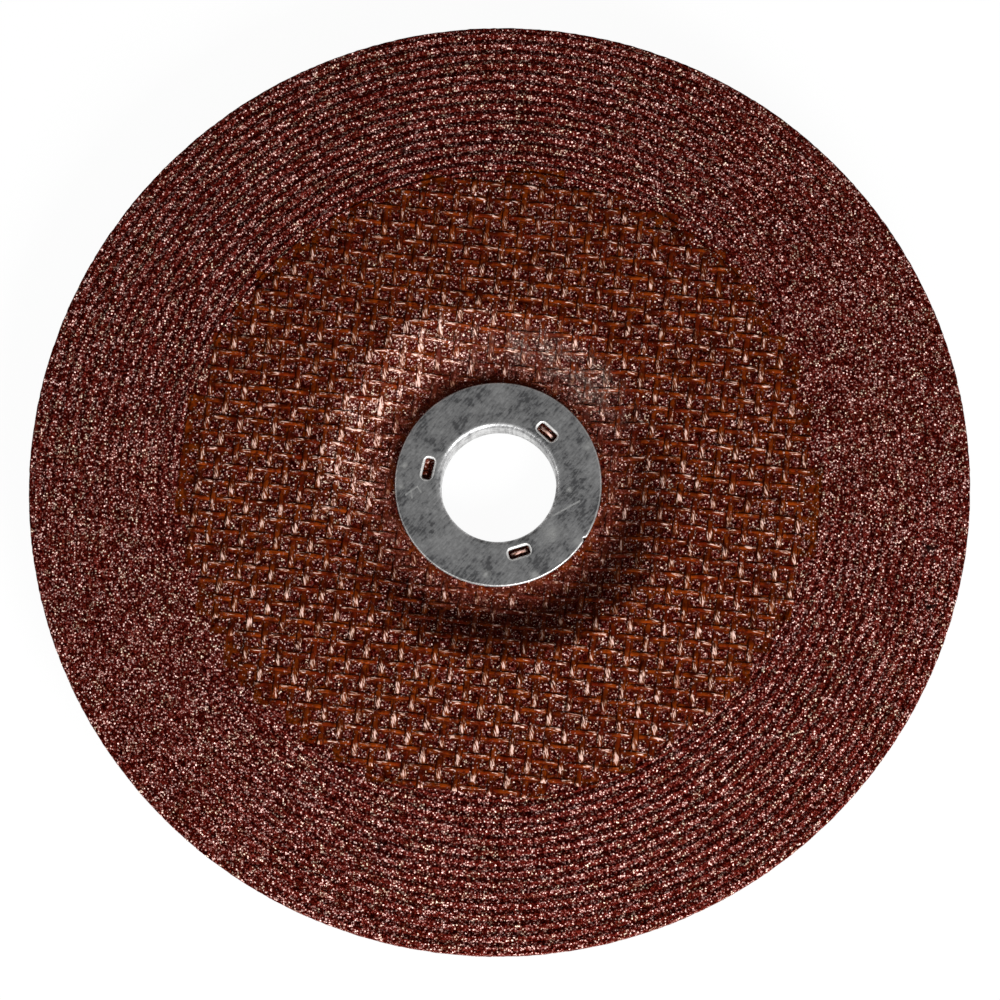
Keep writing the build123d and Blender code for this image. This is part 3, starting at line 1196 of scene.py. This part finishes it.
class OBJECT_OT_disc_stage(bpy.types.Operator):
    """Set up the pale floor, the soft lamps and the camera"""

    bl_idname = "grinding_disc.stage"
    bl_label = "Stage"

    def execute(self, context):
        sizes = context.scene.grinding_disc_stage
        scene = context.scene
        scene.view_settings.view_transform = "Standard"
        x, y = unit(sizes.turn) * math.sin(sizes.tilt)
        back = Vector((y, -x, math.cos(sizes.tilt)))
        right = Vector((0, 1, 0)).cross(back).normalized()
        up = back.cross(right)
        camera = bpy.data.cameras.new("camera")
        camera.lens = sizes.lens
        camera.shift_x, camera.shift_y = CAMERA_SHIFT
        camera.clip_start, camera.clip_end = 0.01, 10.0
        seat = bpy.data.objects.new("camera", camera)
        turned = Matrix((right, up, back)).transposed().to_4x4()
        stand = Vector((0, 0, FACE_Z)) + back * sizes.distance
        seat.matrix_world = Matrix.Translation(stand) @ turned
        scene.collection.objects.link(seat)
        scene.camera = seat
        for name, (part, *setting) in LAMPS.items():
            add_lamp(name, sizes.key * part, *setting)
        self.floor(scene)
        self.sky(scene, sizes.fill)
        return {"FINISHED"}

    def floor(self, scene):
        """A pale floor, nearly white to the camera and in metal, that keeps the disc's shadow."""
        mesh = bpy.data.meshes.new("floor")
        corners = [(-3.0, -3.0, 0.0), (3.0, -3.0, 0.0), (3.0, 3.0, 0.0), (-3.0, 3.0, 0.0)]
        mesh.from_pydata(corners, [], [(0, 1, 2, 3)])
        floor = bpy.data.objects.new("floor", mesh)
        scene.collection.objects.link(floor)
        material, tree, shader = new_material("pale_floor")
        shader["Base Color"].default_value = (0.9, 0.9, 0.9, 1.0)
        shader["Roughness"].default_value = 0.9
        shader["Specular IOR Level"].default_value = 0.2
        white = tree.add("ShaderNodeEmission", {"Color": (1.0, 1.0, 1.0)}).outputs[0]
        rays = tree.add("ShaderNodeLightPath").outputs
        mirrored = tree.math("MAXIMUM", rays["Is Glossy Ray"], rays["Is Transmission Ray"])
        seen = tree.math("MAXIMUM", rays["Is Camera Ray"], mirrored)
        mixed = tree.add("ShaderNodeMixShader", {0: tree.times(seen, 0.96)})
        tree.links.new(tree.nodes["Principled BSDF"].outputs[0], mixed.inputs[1])
        tree.links.new(white, mixed.inputs[2])
        tree.links.new(mixed.outputs[0], tree.nodes["Material Output"].inputs[0])
        mesh.materials.append(material)

    def sky(self, scene, strength):
        """White to the camera, and a softer light from all round for the disc."""
        world = bpy.data.worlds.new("studio")
        scene.world = world
        world.use_nodes = True
        tree = Tree(world.node_tree)
        plain = world.node_tree.nodes["Background"]
        plain.inputs[0].default_value = (1.0, 1.0, 1.0, 1.0)
        seen = tree.add("ShaderNodeLightPath").outputs["Is Camera Ray"]
        height = tree.axes(tree.add("ShaderNodeTexCoord").outputs["Generated"])[2]
        soft = tree.span(height, 0.3, 0.95, strength, strength * 0.2)
        white = tree.math("MAXIMUM", seen, soft)
        tree.feed(plain.inputs[1], white)


class VIEW3D_PT_grinding_disc(bpy.types.Panel):
    """Lists the disc's sizes, colours and operators"""

    bl_idname = "VIEW3D_PT_grinding_disc"
    bl_label = "Grinding Disc"
    bl_space_type = "VIEW_3D"
    bl_region_type = "UI"
    bl_category = "Grinding Disc"

    def draw(self, context):
        for name, (settings, operator) in PARTS.items():
            box = self.layout.box()
            box.label(text=operator.bl_label)
            group = getattr(context.scene, name)
            for key in settings.__annotations__:
                box.prop(group, key)
            box.operator(operator.bl_idname)


PARTS = {
    "grinding_disc_body": (GrindingDiscBody, OBJECT_OT_abrasive_body),
    "grinding_disc_net": (GrindingDiscNet, OBJECT_OT_glass_net),
    "grinding_disc_ring": (GrindingDiscRing, OBJECT_OT_arbor_ring),
    "grinding_disc_stage": (GrindingDiscStage, OBJECT_OT_disc_stage),
}


def register():
    for name, (settings, operator) in PARTS.items():
        bpy.utils.register_class(settings)
        bpy.utils.register_class(operator)
        setattr(bpy.types.Scene, name, bpy.props.PointerProperty(type=settings))
    bpy.utils.register_class(VIEW3D_PT_grinding_disc)


def unregister():
    bpy.utils.unregister_class(VIEW3D_PT_grinding_disc)
    for name, (settings, operator) in PARTS.items():
        delattr(bpy.types.Scene, name)
        bpy.utils.unregister_class(operator)
        bpy.utils.unregister_class(settings)


def main():
    register()
    bpy.ops.grinding_disc.abrasive_body()
    bpy.ops.grinding_disc.glass_net()
    bpy.ops.grinding_disc.arbor_ring()
    bpy.ops.grinding_disc.stage()


if __name__ == "__main__":
    main()
